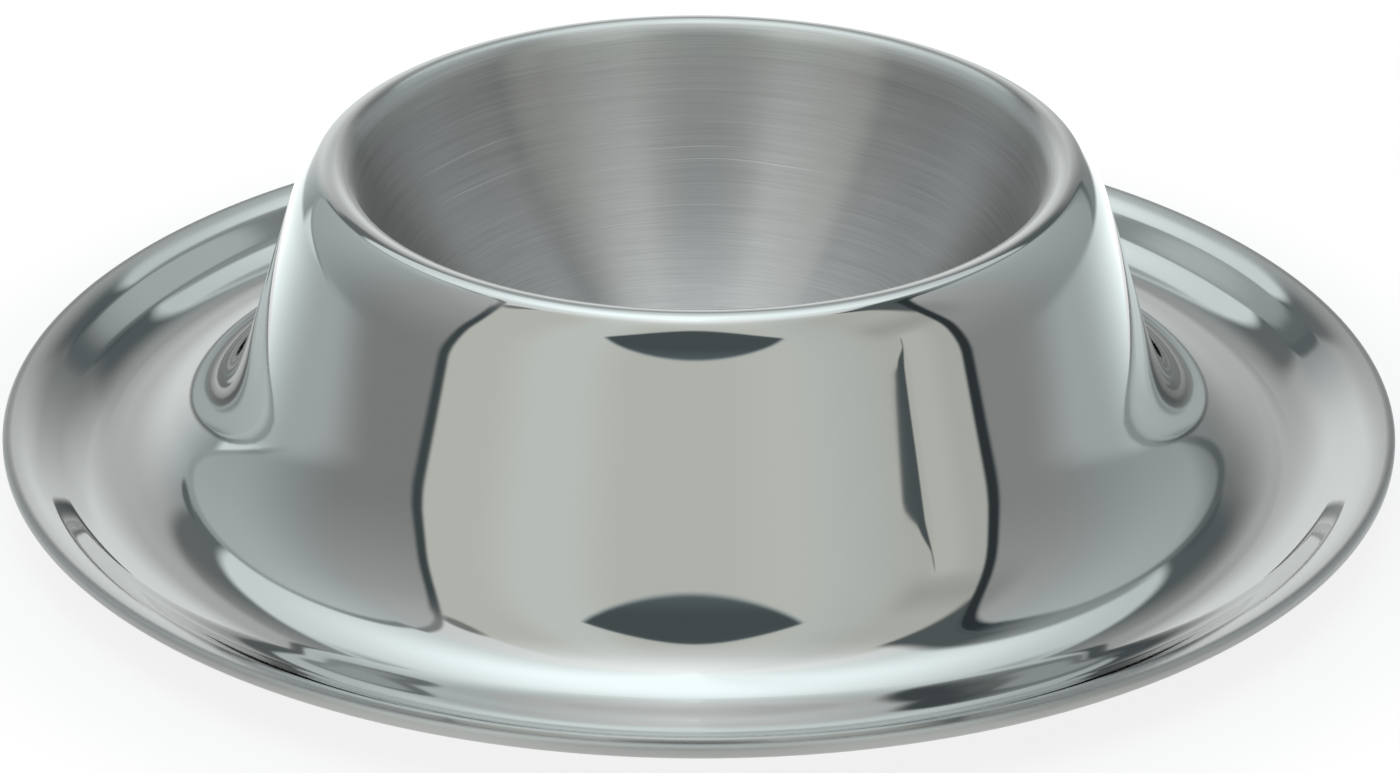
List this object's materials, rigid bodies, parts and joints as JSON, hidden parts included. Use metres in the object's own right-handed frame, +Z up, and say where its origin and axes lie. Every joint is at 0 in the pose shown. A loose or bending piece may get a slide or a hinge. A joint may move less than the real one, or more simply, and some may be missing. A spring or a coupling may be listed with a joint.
{
  "type": "egg cup",
  "caption": "Low round egg cup with a flared mirror-polished collar rising from a dished saucer and a satin bowl that holds a boiled egg.",
  "frame": {"origin": "on the table under the middle of the cup, in the plane of the flat rest ring", "axes": "+Z up along the axis of the cup; the part is round, so +X to the right and -Y to the viewer are free choices"},
  "size_m": [0.085, 0.085, 0.0196],
  "materials": {
    "polished_steel": "mirror-polished stainless steel",
    "satin_steel": "stainless steel brushed round the axis"
  },
  "bodies": {
    "root": {"saucer_shell": "polished_steel", "egg_bowl": "satin_steel"}
  },
  "joints": []
}
